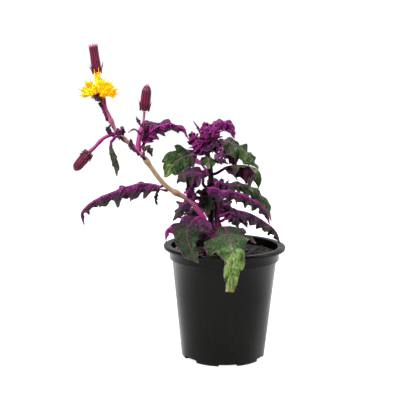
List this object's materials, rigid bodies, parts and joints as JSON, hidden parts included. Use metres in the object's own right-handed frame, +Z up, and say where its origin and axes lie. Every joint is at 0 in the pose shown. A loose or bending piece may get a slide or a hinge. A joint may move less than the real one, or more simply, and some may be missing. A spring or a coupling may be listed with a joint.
{
  "type": "potted plant",
  "caption": "Potted purple passion plant with velvety toothed leaves and a leaning stalk of orange flower heads and closed buds in a round black nursery pot.",
  "frame": {"origin": "centre of the pot's flat underside, on the surface that it stands on", "axes": "+Z up along the pot axis, -Y towards the front of the plant, and the flower stalk leans towards -X"},
  "size_m": [0.1792, 0.1349, 0.2669],
  "materials": {
    "pot_plastic": "black moulded polypropylene, semi-matte",
    "potting_mix": "moist peat and bark fibre",
    "perlite": "dry porous grain",
    "stem": "dark maroon, short purple hairs",
    "flower_stalk": "olive and pinkish brown with magenta edges, short hairs",
    "leaf_green": "hairy green leaf with purple veins",
    "leaf_purple": "velvety purple hairs over dark green",
    "bract": "small olive leaf with purple edge",
    "flower_bud": "dark maroon ribbed bracts",
    "floret": "yellow and orange floret tubes"
  },
  "bodies": {
    "root": {"pot": "pot_plastic", "potting_mix": "potting_mix", "perlite_grain_1": "perlite", "perlite_grain_2": "perlite", "perlite_grain_3": "perlite", "perlite_grain_4": "perlite", "perlite_grain_5": "perlite", "perlite_grain_6": "perlite", "main_stem": "stem", "flowering_stem": "flower_stalk", "second_stem": "stem", "flower_cup": "flower_bud", "flower_florets": "floret", "top_bud": "flower_bud", "left_bud": "flower_bud", "right_bud": "flower_bud", "leaf_upper_left": "leaf_purple", "leaf_long_left": "leaf_purple", "leaf_narrow_left": "leaf_green", "leaf_green_left": "leaf_green", "leaf_small_front": "leaf_green", "leaf_crown_spike": "leaf_purple", "leaf_crown_left": "leaf_purple", "leaf_crown_right": "leaf_purple", "leaf_crown_top": "leaf_purple", "leaf_small_right": "leaf_purple", "leaf_crown_rolled": "leaf_purple", "leaf_top_right": "leaf_purple", "leaf_green_right": "leaf_green", "leaf_curled_right": "leaf_green", "leaf_behind_right": "leaf_green", "leaf_long_right": "leaf_purple", "leaf_lower_right": "leaf_purple", "leaf_centre": "leaf_purple", "leaf_centre_ruffled": "leaf_purple", "leaf_dark_band": "leaf_purple", "leaf_front_left": "leaf_green", "leaf_front_right": "leaf_green", "leaf_rim_left": "leaf_purple", "leaf_dark_left": "leaf_purple", "leaf_dark_middle": "leaf_purple", "bract_hanging": "bract", "bract_upper": "bract", "bract_lower": "bract", "leaf_back_middle": "leaf_green", "leaf_back_left": "leaf_green", "leaf_back_right": "leaf_green", "leaf_back_upper_right": "leaf_purple", "leaf_back_upper_left": "leaf_purple"}
  },
  "joints": []
}
